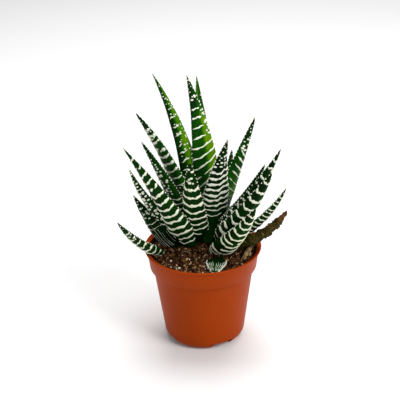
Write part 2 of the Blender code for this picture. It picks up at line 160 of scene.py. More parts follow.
# The left, right, split and foot values paint light and shade into each leaf's green: lighter on the side
# that light falls on, darker at feet that lie in shade.
MARKS = {
    "leaf_heart_left": dict(spacing=2.4, thick=0.5, left=0.4, right=0.5, foot=0.5),
    "leaf_heart_right": dict(spacing=2.4, thick=0.5, left=0.4, right=0.5, foot=0.5),
    "leaf_centre": dict(
        spacing=3.9, thick=0.95, slant=(11.5, 0.0), slant_power=2.4, wavy=0.25, broken=0.1, start=0.16,
        full=0.57, dots=0.8, reach=(-0.95, 0.3), dot=0.56, dense=1.25, left=0.3, right=0.84, foot=0.62,
        top=0.3,
    ),
    "leaf_centre_rear": dict(full=0.1, dot=0.3, left=0.3, right=0.6, foot=0.5, top=0.9),
    "leaf_tall_left": dict(
        spacing=4.0, thick=0.85, bow=-1.3, power=1.5, broken=0.35, start=0.12, full=0.12, dots=0.74,
        reach=(-0.9, 0.1), speckle=0.8, dot=0.34, left=0.22, right=0.78, foot=0.42, split=-0.35, top=0.8,
    ),
    "leaf_tall_right": dict(
        spacing=3.5, thick=1.1, bow=0.0, slant=(-3.6, -3.4), wavy=0.15, broken=0.0, start=0.36, full=0.36,
        dots=0.72, reach=(-0.85, 0.95), dot=0.6, left=0.26, right=0.2, foot=0.7, foot_end=0.64, top=0.4,
        tip=0.965,
    ),
    "leaf_front": dict(
        spacing=3.8, thick=1.6, bow=1.3, power=1.5, broken=0.0, start=0.17, full=0.74, fine=0.42, thin=0.3,
        dot=0.74, dense=0.85, right=0.1, foot=0.12, warm=0.35,
    ),
    "leaf_right_centre": dict(
        spacing=3.0, thick=1.4, bow=0.1, slant=(-1.7, 0.3), jog=1.4, broken=0.25, start=0.25, full=0.7,
        fine=0.2, thin=0.3, dot=0.5, left=0.06, right=0.06, foot=0.24, tip=0.945, warm=0.1,
    ),
    "leaf_left_upper": dict(
        spacing=3.5, thick=1.7, bow=1.5, broken=0.3, start=0.14, full=0.87, fine=0.68, thin=0.1, dot=0.42,
        dense=1.2, speckle=0.35, left=0.16, right=0.32, foot=0.5, foot_end=0.6,
    ),
    "leaf_rear_right_inner": dict(full=0.2, dot=0.26, left=0.3, right=0.3, foot=0.2),
    "leaf_left_middle": dict(
        spacing=2.9, thick=0.65, broken=0.7, full=0.45, dot=0.5, dense=0.6, right=0.26,
    ),
    "leaf_right_rear": dict(spacing=2.9, thick=0.6, broken=0.5, full=0.5, dense=0.7),
    "leaf_right_long": dict(
        spacing=4.6, thick=1.6, bow=2.2, power=3.0, broken=0.15, full=0.92, fine=0.35, left=0.1, right=0.22,
        foot=0.02, warm=0.1,
    ),
    "leaf_back_upper": dict(left=0.3, right=0.3, foot=0.3),
    "leaf_back_left": {},
    "leaf_back_right": {},
    "leaf_front_left": dict(
        spacing=4.3, thick=1.5, bow=1.0, power=1.5, slant=(-0.5, 0.4), jog=0.7, broken=0.1, full=0.92,
        fine=0.15, left=0.09, right=0.18, foot=0.12, warm=0.3,
    ),
    "leaf_right_front": dict(
        spacing=5.2, thick=1.75, bow=3.0, power=3.2, broken=0.0, full=0.95, fine=0.2, left=0.08, foot=0.02,
        warm=0.25,
    ),
    "leaf_left_lower": dict(
        spacing=3.0, broken=0.8, full=0.35, dot=0.55, dense=0.65, left=0.1, right=0.1, foot=0.0,
    ),
    "leaf_back_right_lower": {},
    "leaf_back_left_lower": {},
    "leaf_back_lower": {},
    "leaf_right_lower": dict(
        spacing=2.25, thick=0.8, bow=0.2, wavy=0.2, start=0.2, full=0.94, left=0.16, right=0.2, foot=0.04,
    ),
    "leaf_front_right": dict(
        spacing=4.0, thick=1.45, bow=2.0, power=2.4, broken=0.0, start=0.03, full=0.95, root_spacing=0.9,
        fine=0.1, edge=1.0, left=0.08, right=0.18, foot=0.04, warm=0.45,
    ),
    "leaf_left_lowest": dict(
        spacing=2.6, thick=0.5, broken=0.6, start=0.42, full=0.6, dot=0.4, dense=0.7, streaks=7, left=0.12,
        right=0.08, foot=0.0,
    ),
    "leaf_over_rim": dict(
        bow=1.5, power=1.2, broken=0.4, start=0.0, full=0.82, speckle=0.3, left=0.12, right=0.15, foot=0.12,
        warm=0.3,
    ),
    # Its foot is painted near black, as shadow under the leaf above it.
    "leaf_stub": dict(
        spacing=1.5, thick=0.3, bow=0.2, power=1.6, slant=(-2.2, -1.2), wavy=0.5, broken=0.5, start=0.12,
        full=0.96, upper="lines", edge=0.6, left=0.16, right=0.16, foot=-0.1, foot_end=0.55,
    ),
    "leaf_dead_right": dict(spacing=1.8, wavy=0.2, start=0.0, full=0.0, dot=0.44, dense=1.9),
}

# A leaf's skin
RINGS = 96  # along it
SIDES = 40  # round it
LAST_RING = 0.992  # share of the length at which the last ring lies
SPINE_STEPS = 240
UPPER = 0.26  # shares of its thickness above and under its margins
UNDER = 0.82
KEEL = 0.12
SKIN_GAP = 0.12  # left where one leaf is pressed off another
PRESS_REACH = 3.0  # a point deeper inside another leaf than this stays

# Bands and dots
BAND_HEIGHT = 0.36
LOW_HEIGHT = 0.34  # of broken bands, and the most that a line has
BAND_SECTION = (-20, 25, 65, 115, 155, 200)  # angles of its points about the skin point
DOT_SIDES = 8
DOT_RINGS = ((-0.25, 1.0), (0.35, 0.92), (0.8, 0.6))  # shares of its height and radius
MARK_LIMITS = (0.01, 0.985)  # shares of the length between which marks lie
MARGIN = 0.005  # left at each end of a band, as a share of the way round
UPPER_LINES = 11

# Loose material on the soil
SOIL_SIDES = 150
SOIL_RINGS = 62
SOIL_SINK = 0.35  # of the body under its grains
SOIL_RIM = COLLAR_FOOT_RADIUS - WALL - CLEAR + 0.35
# name, how many, smallest and largest size, dark and pale tone, roundness, slot
GRAINS = (
    ("soil_crumbs", 3000, 0.45, 1.5, (0.002, 0.001, 0.001), (0.15, 0.052, 0.018), 0.55, "potting_soil"),
    ("soil_tan_grains", 760, 0.5, 1.35, (0.10, 0.042, 0.014), (0.80, 0.50, 0.22), 0.7, "grit"),
    ("soil_pale_grains", 140, 0.45, 1.2, (0.60, 0.50, 0.38), (0.97, 0.94, 0.86), 0.8, "grit"),
)
FIBRES = 90
FIBRE_POINTS = 7
FIBRE_SIDES = 5

# Dry straws that lean on the inside of the pot
STRAWS = 5
STRAW_POINTS = 12
STRAW_SIDES = 6
STRAW_FOOT = np.array((17.6, -14.2, 45.7))  # of the first straw
STRAW_FOOT_STEP = np.array((0.9, 1.5, 0.0))  # to the next one
STRAW_HEAD = np.array((22.6, 0.6, 47.2))
STRAW_HEAD_STEP = np.array((0.0, 0.9, 0.0))
STRAW_ARCH = np.array((0.5, 0.2, 0.7))  # how far its middle may be bent
STRAW_FLATNESS = 0.6

# Stage, with each lamp's place and size in metres and its power in watts
LAMPS = {
    "key": ((0.42, -0.35, 0.50), 0.30, 3.2),
    "fill": ((-0.55, -0.40, 0.30), 0.40, 0.6),
    "top": ((0.05, 0.25, 0.75), 0.60, 6.0),
}
LAMP_AIM = (0, 0, 0.07)
WORLD_LIGHT = 0.30
FLOOR_REACH = 3000.0
FLOOR_DROP = 0.05  # below the pot's foot


class Look:
    """A node material in the making."""

    def __init__(self, name):
        self.material = bpy.data.materials.new(name)
        self.material.use_nodes = True
        self.nodes = self.material.node_tree.nodes
        self.shader = self.nodes["Principled BSDF"]

    def put(self, value, socket):
        """Links a socket's output, or sets a number, a vector or a colour on the socket itself."""
        if isinstance(value, bpy.types.NodeSocket):
            self.material.node_tree.links.new(value, socket)
        else:
            socket.default_value = (*value, 1) if socket.type == "RGBA" else value

    def surface(self, **values):
        """Fills the shader's own sockets; an underscore in a name stands for a space."""
        for name, value in values.items():
            self.put(value, self.shader.inputs[name.replace("_", " ")])

    def noise(self, scale, detail=4.0, roughness=0.55):
        """Noise in the object's own coordinates; scale is in waves per metre."""
        node = self.nodes.new("ShaderNodeTexNoise")
        place = self.nodes.new("ShaderNodeTexCoord").outputs["Object"]
        inputs = {"Vector": place, "Scale": scale, "Detail": detail, "Roughness": roughness}
        for name, value in inputs.items():
            self.put(value, node.inputs[name])
        return node.outputs["Fac"]

    def attribute(self, name):
        node = self.nodes.new("ShaderNodeAttribute")
        node.attribute_name = name
        return node.outputs["Fac"]

    def ramp(self, value, *stops):
        """The colour that a ramp of (position, red, green, blue) stops has at a value."""
        node = self.nodes.new("ShaderNodeValToRGB")
        elements = node.color_ramp.elements
        while len(elements) < len(stops):
            elements.new(0.5)
        for element, (position, *colour) in zip(elements, stops):
            element.position = position
            element.color = (*colour, 1)
        self.put(value, node.inputs["Fac"])
        return node.outputs["Color"]

    def mix(self, share, first, second, blend="MIX"):
        """Mixes two colours; each of the three is a socket or a value."""
        node = self.nodes.new("ShaderNodeMix")
        node.data_type = "RGBA"
        node.blend_type = blend
        for value, index in ((share, 0), (first, 6), (second, 7)):
            self.put(value, node.inputs[index])
        return node.outputs[2]

    def maths(self, operation, first, second, clamp=False):
        node = self.nodes.new("ShaderNodeMath")
        node.operation = operation
        node.use_clamp = clamp
        self.put(first, node.inputs[0])
        self.put(second, node.inputs[1])
        return node.outputs[0]

    def scaled(self, value, factor, offset):
        return self.maths("ADD", self.maths("MULTIPLY", value, factor), offset)

    def relief(self, height, strength, distance):
        """A bump, its distance in metres."""
        node = self.nodes.new("ShaderNodeBump")
        for name, value in {"Height": height, "Strength": strength, "Distance": distance}.items():
            self.put(value, node.inputs[name])
        self.surface(Normal=node.outputs["Normal"])


def leaf_material():
    """Dark waxy green, up to a light yellow green where light is painted onto a leaf, darker where shade is
    painted, brown at the tip.
    """
    look = Look("leaf_skin_look")
    broad, fine = look.noise(120, 3), look.noise(900, 3)
    shift = look.maths("MULTIPLY", look.maths("SUBTRACT", broad, 0.5), 0.45)
    greens = look.ramp(
        look.maths("ADD", look.attribute("painted_light_and_tone"), shift, True),
        (0.0, 0.002, 0.013, 0.002),
        (0.2, 0.003, 0.036, 0.002),
        (0.5, 0.010, 0.100, 0.001),
        (0.75, 0.060, 0.200, 0.001),
        (1.0, 0.190, 0.360, 0.002),
    )
    speck = look.ramp(fine, (0.35, 0.7, 0.75, 0.7), (0.7, 1.2, 1.12, 1.0))
    colour = look.mix(0.7, greens, speck, "MULTIPLY")
    look.surface(Base_Color=look.mix(look.attribute("tip"), colour, (0.16, 0.055, 0.025)))
    look.surface(Roughness=look.scaled(fine, 0.18, 0.36), Specular_IOR_Level=0.02)
    look.surface(Subsurface_Weight=0.08, Subsurface_Radius=(0.5, 1.0, 0.12), Subsurface_Scale=0.0015)
    look.relief(fine, 0.25, 0.0002)
    return look.material


def band_material():
    """The chalky cream of the raised bands, from cool to yellowish."""
    look = Look("leaf_band_look")
    fine = look.noise(1400, 3)
    cool = look.mix(fine, (0.70, 0.76, 0.58), (0.97, 0.98, 0.90))
    warm = look.mix(fine, (0.62, 0.68, 0.30), (0.95, 0.94, 0.60))
    look.surface(Base_Color=look.mix(look.attribute("warm"), cool, warm))
    look.surface(Roughness=0.6, Specular_IOR_Level=0.15)
    look.surface(Subsurface_Weight=0.15, Subsurface_Radius=(0.9, 1.0, 0.6), Subsurface_Scale=0.0006)
    look.relief(fine, 0.3, 0.0001)
    return look.material


def wart_material():
    """The dried bands of a dead leaf, tan and olive."""
    look = Look("dead_leaf_wart_look")
    tones = (0.35, 0.010, 0.010, 0.002), (0.55, 0.055, 0.046, 0.008), (0.72, 0.22, 0.14, 0.04)
    look.surface(Base_Color=look.ramp(look.noise(600, 4, 0.7), *tones))
    look.surface(Roughness=0.85, Specular_IOR_Level=0.08)
    return look.material


def dead_material():
    """A dried leaf: olive at its root, near black where it is shrunk and orange brown at its tip."""
    look = Look("dead_leaf_look")
    broad, fine = look.noise(260, 5, 0.65), look.noise(1500, 4)
    shift = look.maths("MULTIPLY", look.maths("SUBTRACT", broad, 0.5), 0.3)
    tones = look.ramp(
        look.maths("ADD", look.attribute("along"), shift),
        (0.2, 0.022, 0.026, 0.003),
        (0.6, 0.034, 0.028, 0.003),
        (0.88, 0.045, 0.022, 0.004),
        (1.0, 0.13, 0.045, 0.015),
    )
    patch = look.ramp(broad, (0.4, 0.25, 0.25, 0.25), (0.62, 1.8, 1.6, 1.2))
    look.surface(Base_Color=look.mix(0.8, tones, patch, "MULTIPLY"), Roughness=0.8, Specular_IOR_Level=0.04)
    look.relief(look.scaled(fine, 0.4, broad), 0.9, 0.0006)
    return look.material


def dry_material():
    """Straw-coloured dry leaf."""
    look = Look("dry_leaf_look")
    broad = look.noise(500, 4)
    tones = look.ramp(broad, (0.3, 0.14, 0.07, 0.02), (0.55, 0.38, 0.24, 0.09), (0.75, 0.62, 0.44, 0.21))
    look.surface(Base_Color=tones, Roughness=0.75)
    look.relief(broad, 0.6, 0.0003)
    return look.material


def pot_material():
    """Satin polypropylene: an even terracotta orange with faint mottling and a fine texture."""
    look = Look("pot_plastic_look")
    broad, fine = look.noise(40, 3), look.noise(2200, 2)
    look.surface(Base_Color=look.ramp(broad, (0.3, 0.300, 0.036, 0.0005), (0.7, 0.355, 0.044, 0.001)))
    look.surface(Roughness=look.scaled(broad, 0.15, 0.34), Specular_IOR_Level=0.05)
    look.surface(Subsurface_Weight=0.05, Subsurface_Radius=(1.0, 0.25, 0.08), Subsurface_Scale=0.001)
    look.relief(fine, 0.12, 0.00008)
    return look.material


def stain_material():
    """The inside of the pot below its lip, darkened by wet soil."""
    look = Look("pot_stain_look")
    tones = (0.35, 0.010, 0.005, 0.003), (0.6, 0.05, 0.016, 0.006), (0.8, 0.20, 0.035, 0.006)
    look.surface(Base_Color=look.ramp(look.noise(500, 5, 0.7), *tones))
    look.surface(Roughness=0.8, Specular_IOR_Level=0.08)
    return look.material


def soil_material():
    """Dark brown peat, broken by paler grain at two scales."""
    look = Look("potting_soil_look")
    broad, fine = look.noise(700, 5, 0.7), look.noise(3000, 4, 0.7)
    tones = look.ramp(
        look.mix(0.5, broad.node.outputs["Color"], fine.node.outputs["Color"]),
        (0.3, 0.004, 0.002, 0.001),
        (0.5, 0.024, 0.009, 0.004),
        (0.62, 0.075, 0.028, 0.010),
        (0.75, 0.20, 0.10, 0.035),
    )
    look.surface(Base_Color=tones, Roughness=0.95, Specular_IOR_Level=0.05)
    look.relief(broad, 1.0, 0.0008)
    return look.material


def crumb_material(name, dark, pale):
    """One kind of grain, each grain its own tone between two."""
    look = Look(name)
    fine = look.noise(2600, 3)
    share = look.maths("MULTIPLY", look.maths("POWER", look.attribute("tone"), 2.0), 0.75)
    colour = look.mix(look.scaled(fine, 0.25, share), dark, pale)
    look.surface(Base_Color=colour, Roughness=0.9, Specular_IOR_Level=0.08)
    look.relief(fine, 0.6, 0.0002)
    return look.material


def mesh_object(name, points, faces, material, smooth=True, attributes=None):
    """A mesh object from points in millimetres, with one number per point for each attribute."""
    mesh = bpy.data.meshes.new(name)
    mesh.from_pydata((np.asarray(points) * MM).tolist(), [], faces)
    mesh.update()
    mesh.polygons.foreach_set("use_smooth", [smooth] * len(mesh.polygons))
    for key, values in (attributes or {}).items():
        layer = mesh.attributes.new(key, "FLOAT", "POINT")
        layer.data.foreach_set("value", np.asarray(values, dtype=np.float32))
    mesh.materials.append(material)
    obj = bpy.data.objects.new(name, mesh)
    bpy.context.scene.collection.objects.link(obj)
    return obj


def settle(obj, slot, *nodes):
    """Puts a finished piece on the root body, in place of the nodes named."""
    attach(obj, "root")
    if nodes:
        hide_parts(*nodes)


def smooth_step(t):
    t = np.clip(t, 0.0, 1.0)
    return t * t * (3 - 2 * t)


def spine(leaf):
    """Points along the middle of a leaf with the width and face directions at each, root first."""
    azimuth, turn, length, lean_root, lean_tip = leaf[3:8]
    roll = radians(leaf[12])

    def directions(t):
        lean = np.radians(lean_root + (lean_tip - lean_root) * t)
        turned = np.radians(azimuth + turn * t)
        along = np.stack([np.cos(lean) * np.cos(turned), np.cos(lean) * np.sin(turned), np.sin(lean)], -1)
        side = np.stack([-np.sin(turned), np.cos(turned), np.zeros_like(t)], -1)
        return along, side

    steps = directions((np.arange(SPINE_STEPS) + 0.5) / SPINE_STEPS)[0] * length / SPINE_STEPS
    points = np.vstack([leaf[:3], np.asarray(leaf[:3]) + np.cumsum(steps, axis=0)])
    along, side = directions(np.arange(SPINE_STEPS + 1) / SPINE_STEPS)
    face = np.cross(along, side)
    return points, cos(roll) * side + sin(roll) * face, cos(roll) * face - sin(roll) * side


def section(q):
    """Where a leaf's skin lies at q: from 0 at the right margin over the leaf to 0.5, and under it to 1."""
    u = np.cos(2 * pi * q)
    s = np.abs(np.sin(2 * pi * q))
    upper = UPPER * s**1.2 * (1 - 0.42 * s**4)
    under = -UNDER * s**0.92
    return u, np.where(np.mod(q, 1.0) < 0.5, upper, under)


def leaf_grid(leaf, random):
    """The skin of a leaf as a grid of points, rings by sides, and how far along it each ring lies."""
    width, thickness, taper, power = leaf[8:12]
    base = leaf[13]
    t = np.linspace(0, LAST_RING, RINGS)
    steps = np.arange(SPINE_STEPS + 1)
    at, sides, faces = (
        np.stack([np.interp(t * SPINE_STEPS, steps, values[:, k]) for k in range(3)], -1)[:, None]
        for values in spine(leaf)
    )
    rise = base + (1 - base) * smooth_step(t / 0.2)
    first, second = random.random(2)
    wander = 0.02 * np.sin(2 * pi * (2.3 * t + first)) + 0.012 * np.sin(2 * pi * (5.1 * t + second))
    half = 0.5 * width * rise * np.minimum(1.0, (1 - t) / (1 - taper)) ** power * (1 + wander)
    deep = thickness * rise * np.minimum(1.0, (1 - t) / 0.85) ** 0.55
    q = np.arange(SIDES) / SIDES
    u, v = section(q)
    keel = KEEL * np.exp(-(((q - 0.75) / 0.05) ** 2)) * smooth_step((t - 0.3) / 0.5)[:, None]
    return at + sides * (half[:, None] * u)[..., None] + faces * (deep[:, None] * (v - keel))[..., None], t


def grid_faces(rings, sides, first=0):
    r, k = np.meshgrid(np.arange(rings - 1), np.arange(sides), indexing="ij")
    n = (k + 1) % sides
    quads = np.stack([r * sides + k, r * sides + n, (r + 1) * sides + n, (r + 1) * sides + k], -1)
    return (quads.reshape(-1, 4) + first).tolist()


def tube_faces(rings, sides, first):
    """The faces of a tube closed at both ends."""
    last = first + (rings - 1) * sides
    ends = [[first + k for k in reversed(range(sides))], [last + k for k in range(sides)]]
    return grid_faces(rings, sides, first) + ends


def tube(path, radii, sides, flatness=1.0):
    """Rings of points round a path."""
    turn = 2 * pi * np.arange(sides)[:, None] / sides
    rings = []
    for k, (place, radius) in enumerate(zip(path, radii)):
        ahead = path[min(k + 1, len(path) - 1)] - path[max(k - 1, 0)]
        side = np.cross(ahead, (0, 0, 1.0))
        side /= np.linalg.norm(side)
        rings.append(place + radius * (np.cos(turn) * side + np.sin(turn) * (0, 0, flatness)))
    return rings


def press(grid, trees):
    """Moves the points of a leaf that lie inside a leaf nearer the heart out onto that leaf's skin."""
    points = grid.reshape(-1, 3).copy()
    for tree, low, high in trees:
        for i in np.nonzero(((points > low) & (points < high)).all(axis=1))[0]:
            place, normal, _, distance = tree.find_nearest(Vector(points[i]))
            if place is None or distance >= PRESS_REACH:
                continue
            outside = (Vector(points[i]) - place).dot(normal)
            if outside < 0 or (outside < SKIN_GAP and distance < SKIN_GAP):
                points[i] = place + normal * SKIN_GAP
    return points.reshape(grid.shape)


def sample(grid, t, q):
    """Points, normals and lengthwise directions of the skin at shares t along and q round."""
    rings, sides = grid.shape[:2]
    r = np.clip(np.asarray(t) / LAST_RING * (rings - 1), 0, rings - 1.001)
    k = np.mod(np.asarray(q), 1.0) * sides
    r0, k0 = r.astype(int), k.astype(int) % sides
    r1, k1 = r0 + 1, (k0 + 1) % sides
    a, b = (r - r0)[:, None], (k - np.floor(k))[:, None]
    p00, p01, p10, p11 = grid[r0, k0], grid[r0, k1], grid[r1, k0], grid[r1, k1]
    point = (p00 * (1 - b) + p01 * b) * (1 - a) + (p10 * (1 - b) + p11 * b) * a
    along = (p10 + p11 - p00 - p01) / 2
    round_ = (p01 + p11 - p00 - p10) / 2
    normal = np.cross(round_, along)
    normal /= np.linalg.norm(normal, axis=1)[:, None] + 1e-9
    along /= np.linalg.norm(along, axis=1)[:, None] + 1e-9
    return point, normal, along


class Beads:
    """Collects raised bands and dots into one mesh."""

    def __init__(self):
        self.points, self.faces, self.count = [], [], 0

    def band(self, point, normal, along, thickness, height):
        """A raised band over a run of skin points; thickness is one number per point."""
        angles = np.radians(BAND_SECTION)
        across = np.cos(angles)[None, :, None] * (thickness / 2)[:, None, None] * along[:, None]
        up = (np.sin(angles)[None, :, None] * height[:, None, None]) * normal[:, None]
        rings = point[:, None] + across + up
        self.faces += tube_faces(*rings.shape[:2], self.count)
        self.points.append(rings.reshape(-1, 3))
        self.count += len(self.points[-1])

    def dot(self, point, normal, along, radius, height, stretch=1.0):
        """A raised dot over a skin point, wider across the leaf where it is stretched."""
        side = np.cross(normal, along)
        angles = 2 * pi * np.arange(DOT_SIDES)[:, None] / DOT_SIDES
        rings = []
        for lift, share in DOT_RINGS:
            spread = (np.cos(angles) * side * stretch + np.sin(angles) * along) * radius * share
            rings.append(point + spread + normal * height * lift)
        self.points.append(np.vstack([*rings, point + normal * height]))
        self.faces += grid_faces(len(DOT_RINGS), DOT_SIDES, self.count)
        peak = self.count + len(DOT_RINGS) * DOT_SIDES
        top = peak - DOT_SIDES
        self.faces += [[top + k, top + (k + 1) % DOT_SIDES, peak] for k in range(DOT_SIDES)]
        self.faces.append([self.count + k for k in reversed(range(DOT_SIDES))])
        self.count = peak + 1


def buried(points, trees):
    """Which points lie inside one of the other leaves."""
    inside = np.zeros(len(points), dtype=bool)
    for tree, low, high in trees:
        for i in np.nonzero(((points > low) & (points < high)).all(axis=1) & ~inside)[0]:
            place, normal, _, distance = tree.find_nearest(Vector(points[i]))
            if place is not None and distance < 6 and (Vector(points[i]) - place).dot(normal) < -0.05:
                inside[i] = True
    return inside


def q_at(u):
    """Where on the under face a place across lies, from -1 at the left margin to 1 at the right one."""
    return 1 - np.arccos(np.clip(u, -1, 1)) / (2 * pi)


def mark_leaf(leaf, look, grid, random, trees):
    """The points and faces of one leaf's bands and dots, none of them inside the leaves of trees."""
    draw = random.random
    length = leaf[5]
    step = look["spacing"] / length
    beads = Beads()
    keel = 0.2 * (draw() - 0.5)

    def add_band(t, low, high, thick, rise):
        """A band at t along, from q = low to high, wavy and of uneven thickness."""
        count = max(5, int(abs(high - low) * 56))
        q = np.linspace(low, high, count)
        u = np.cos(2 * pi * q)
        phase = draw(4) * 2 * pi
        wave = 0.6 * np.sin(5.5 * u + phase[0]) + 0.4 * np.sin(11 * u + phase[1])
        slant = look["slant"][0] * (1 - t) ** look["slant_power"] + look["slant"][1] * t
        sag = look["bow"] * min(1.0, 2.2 * (1 - t)) * (1 - np.abs(u) ** look["power"])
        lift = look["wavy"] * wave - sag + slant * u + look["jog"] * np.tanh(12 * (u - keel)) / 2
        ends = np.clip(np.minimum(np.arange(count), np.arange(count)[::-1]) / 2.0, 0, 1)
        swell = 0.85 + 0.25 * np.sin(7 * u + phase[2]) + 0.18 * np.sin(15 * u + phase[3])
        point, normal, along = sample(grid, np.clip(t + lift / length, *MARK_LIMITS), q)
        hidden = buried(point + normal * 0.15, trees)
        thicks = thick * swell * (0.3 + 0.7 * ends)
        heights = rise * (0.25 + 0.75 * ends) * (0.8 + 0.3 * swell)
        run = []
        for i in range(count + 1):
            if i < count and not hidden[i]:
                run.append(i)
                continue
            if len(run) > 2:
                beads.band(point[run], normal[run], along[run], thicks[run], heights[run])
            run = []

    def add_dot(t, q, radius, stretch=1.0):
        point, normal, along = sample(grid, np.clip([t], *MARK_LIMITS), [q])
        if not buried(point + normal * 0.1, trees)[0]:
            beads.dot(point[0], normal[0], along[0], radius, 0.55 * radius + 0.12, stretch)

    def add_dots(t, low, high, narrow):
        """A loose row of dots between two shares of the width, fewer where the leaf is narrow."""
        count = max(1, round((1 + 4 * narrow) * look["dense"] * (high - low) / 2))
        for k in range(count):
            u = low + (high - low) * (k + 0.15 + 0.7 * draw()) / count
            radius = look["dot"] * (0.6 + 0.6 * draw()) * (0.6 + 0.4 * narrow)
            place = t + (draw() - 0.5) * 0.5 * step
            add_dot(place, float(q_at(u)), radius, 1.0 + 0.8 * draw())

    def add_broken(t, low, high, thick):
        """A band in two or three dashes."""
        cuts = sorted(low + (high - low) * (0.2 + 0.6 * draw(1 + int(draw() * 2))))
        for a, b in zip([low, *cuts], [*cuts, high]):
            shift = (draw() - 0.5) * 0.4 * step
            if b - a > 0.07:
                add_band(t + shift, a + 0.016, b - 0.016, thick, LOW_HEIGHT)
            else:
                add_dot(t + shift, (a + b) / 2, 0.5 * thick, 1.3)

    def add_line(q, start, end, thick):
        """A pale line lengthwise along the leaf at q, thinner toward the tip."""
        t = np.linspace(start, end, 60)
        point, normal, along = sample(grid, t, q + 0.006 * np.sin(17 * t + 9 * q))
        shown = np.nonzero(~buried(point + normal * 0.15, trees))[0]
        if len(shown) > 2:
            across = np.cross(normal, along)[shown]
            wide = thick * (0.7 + 0.3 * np.sin(23 * t[shown] + 7 * q)) * (1 - 0.6 * t[shown])
            height = np.full(len(shown), min(LOW_HEIGHT, 0.5 * thick))
            beads.band(point[shown], normal[shown], across, wide, height)

    t = look["start"] + 0.3 * step
    while t < 0.97:
        narrow = float(smooth_step((1 - t) / 0.35))
        here = look["thick"] * (0.85 + 0.3 * draw()) * (0.62 + 0.38 * narrow)
        here *= look["thin"] + (1 - look["thin"]) * float(smooth_step((t - look["start"]) / look["fine"]))
        left, right = (-1.0, 1.0) if t < look["full"] else look["reach"]
        if t < max(look["full"], look["dots"]):
            low, high = float(q_at(left)) + MARGIN, float(q_at(right)) - MARGIN
            if draw() < look["broken"]:
                add_broken(t, low, high, here)
            else:
                add_band(t, low, high, here, BAND_HEIGHT)
            if draw() < look["speckle"]:
                add_dots(t + 0.5 * step, left, right, narrow)
            if right < 0.9:
                add_dots(t, right + 0.15, 1.0, narrow)
                add_dots(t + 0.5 * step, right + 0.1, 1.0, narrow)
            if left > -0.65:
                add_dots(t, -1.0, left - 0.15, narrow)
                add_dots(t + 0.5 * step, -1.0, left - 0.1, narrow)
        else:
            add_dots(t, -1.0, 1.0, narrow)
            add_dots(t + 0.45 * step, -0.9, 0.9, narrow)
        if look["upper"] == "dots" and t > 0.3:
            for _ in range(int(3 * draw() * (0.4 + narrow))):
                edge = 0.03 + 0.16 * draw()
                spot = edge if draw() < 0.5 else 0.5 - edge
                add_dot(t + (draw() - 0.5) * step, spot, 0.22 + 0.16 * draw())
        for margin in (0.0, 0.5):
            for share in (0.25, 0.75):
                if t > 0.15:
                    add_dot(t + share * step, margin, 0.24 + 0.14 * draw())
        wider = look["root_spacing"] + (1.06 - look["root_spacing"]) * float(smooth_step(t / 0.6))
        t += step * (0.9 + 0.2 * draw()) * wider
    if look["upper"] == "lines":
        for k in range(UPPER_LINES):
            q = 0.03 + 0.44 * (k + draw()) / UPPER_LINES
            add_line(q, 0.25 + 0.2 * draw(), 0.72 + 0.22 * draw(), 0.32)
    if look["edge"]:
        add_line(0.985, 0.06, 0.9, look["edge"])
    for k in range(look["streaks"]):
        q = float(q_at(-0.9 + 1.8 * (k + 0.5 * draw()) / look["streaks"]))
        add_line(q, 0.05 + 0.1 * draw(), 0.3 + 0.15 * draw(), 0.2)
    return np.vstack(beads.points), beads.faces


def skin_values(look, t):
    """How much painted light and shade and how much brown a leaf's skin has at each of its points."""
    along = np.append(np.repeat(t, SIDES), 1.0)
    q = np.append(np.tile(np.arange(SIDES) / SIDES, RINGS), 0.25)
    # Painted light: the side of the keel that light falls on is made lighter, the other side darker.
    side = smooth_step((np.cos(2 * pi * q) - look["split"] + 0.25) / 0.5)
    painted_light_and_tone = look["left"] + (look["right"] - look["left"]) * side
    # Painted light: the upper face is made a little lighter.
    painted_light_and_tone = painted_light_and_tone + 0.1 * np.clip(np.sin(2 * pi * q) * 2, 0, 1)
    # Painted shade and light at the foot: darker for feet in shade near the soil and under other leaves,
    # lighter for lit ones.
    foot = 1 - smooth_step((along - look["foot_end"]) / 0.3 + 1)
    painted_light_and_tone = painted_light_and_tone * (1 - foot) + look["foot"] * foot
    painted_light_and_tone = painted_light_and_tone * (1 - (1 - look["top"]) * smooth_step((along - 0.68) / 0.2))
    return {"along": along, "painted_light_and_tone": painted_light_and_tone, "tip": smooth_step((along - look["tip"]) / 0.03) * 0.8}


def shrivel(grid, t, random):
    """Wrinkles and shrinks a dried leaf."""
    centre = grid.mean(axis=1, keepdims=True)
    q = np.arange(SIDES) / SIDES
    folds = sum(
        0.11 * np.sin(2 * pi * (a * t[:, None] + b * q[None] + random.random()))
        for a, b in ((9, 1), (15, 2), (5, 3), (23, -1))
    )
    return centre + (grid - centre) * (1.04 + folds[..., None])


